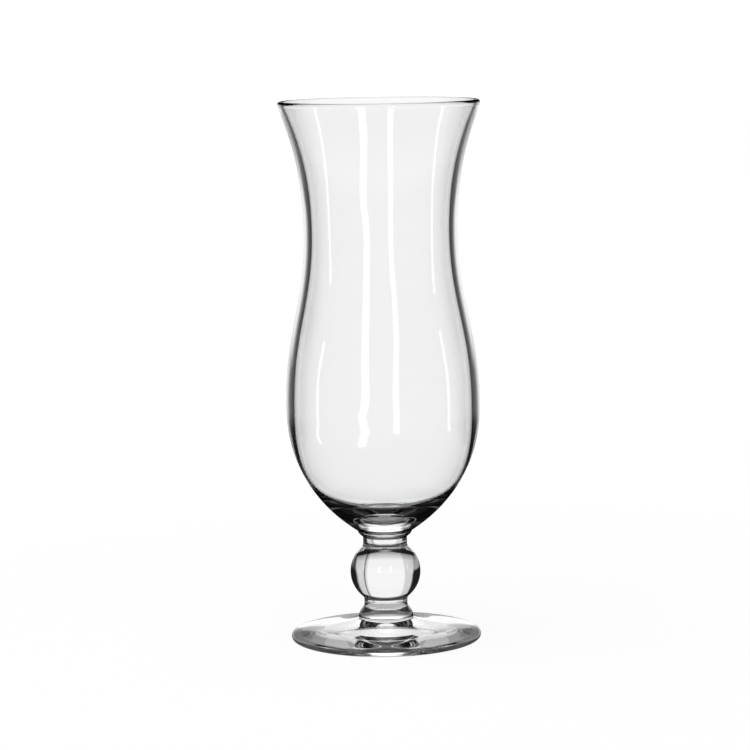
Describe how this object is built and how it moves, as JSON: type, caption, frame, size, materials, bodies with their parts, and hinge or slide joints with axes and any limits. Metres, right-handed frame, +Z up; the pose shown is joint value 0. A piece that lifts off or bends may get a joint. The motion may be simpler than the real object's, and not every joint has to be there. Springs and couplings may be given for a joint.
{
  "type": "hurricane glass",
  "caption": "Clear stemmed cocktail glass: tall bowl with flared lip, narrow waist and round bulb, on a ball knop between short collars, standing on a domed round foot.",
  "frame": {"origin": "centre of the foot's resting plane", "axes": "+Z up the glass's axis from the foot to the mouth; the glass is the same all round, so X and Y are free"},
  "size_m": [0.0778, 0.0778, 0.2095],
  "materials": {
    "bowl_glass": "thin blown clear soda-lime glass, fire-polished, with faint waves",
    "stem_glass": "solid pressed clear soda-lime glass, fire-polished, with faint mould seams"
  },
  "bodies": {
    "root": {"foot": "stem_glass", "lower_collar": "stem_glass", "ball_knop": "stem_glass", "upper_collar": "stem_glass", "bowl": "bowl_glass"}
  },
  "joints": []
}
